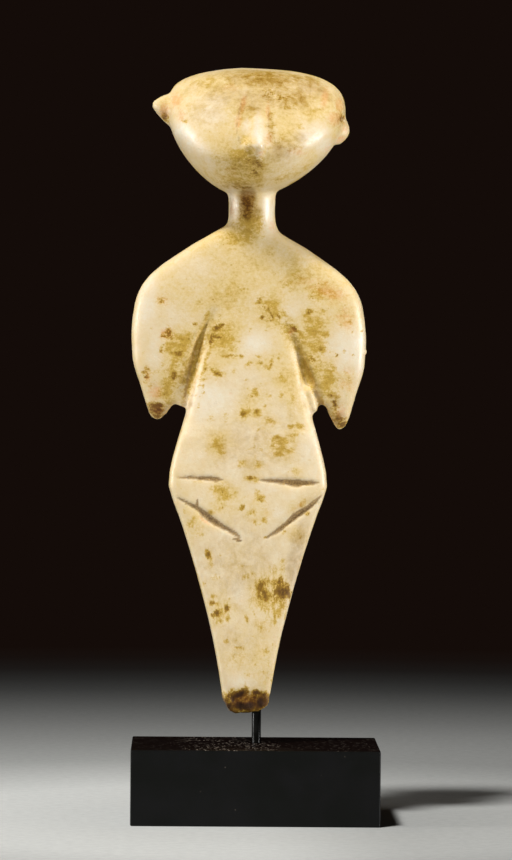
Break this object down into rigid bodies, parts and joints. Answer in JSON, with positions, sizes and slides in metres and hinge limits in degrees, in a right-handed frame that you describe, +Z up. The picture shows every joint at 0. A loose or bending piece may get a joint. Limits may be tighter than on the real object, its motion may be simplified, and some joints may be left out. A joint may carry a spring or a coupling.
{
  "type": "marble idol on a stand",
  "caption": "Flat female figure of carved marble with a wide bowl-shaped head, wing-like arms and a tapering body, held upright by a rod in a black display block.",
  "frame": {"origin": "centre of the block's underside, on the surface it stands on", "axes": "+Z up, -Y the way the figure faces, +X to the right when looking at its front"},
  "size_m": [0.0645, 0.041, 0.1935],
  "materials": {
    "marble": "aged, softly polished cream marble with ochre and brown deposits",
    "rod": "black paint, satin",
    "block": "black lacquer, satin, a little dusty on top"
  },
  "bodies": {
    "root": {"figure": "marble", "rod": "rod", "block": "block"}
  },
  "joints": []
}
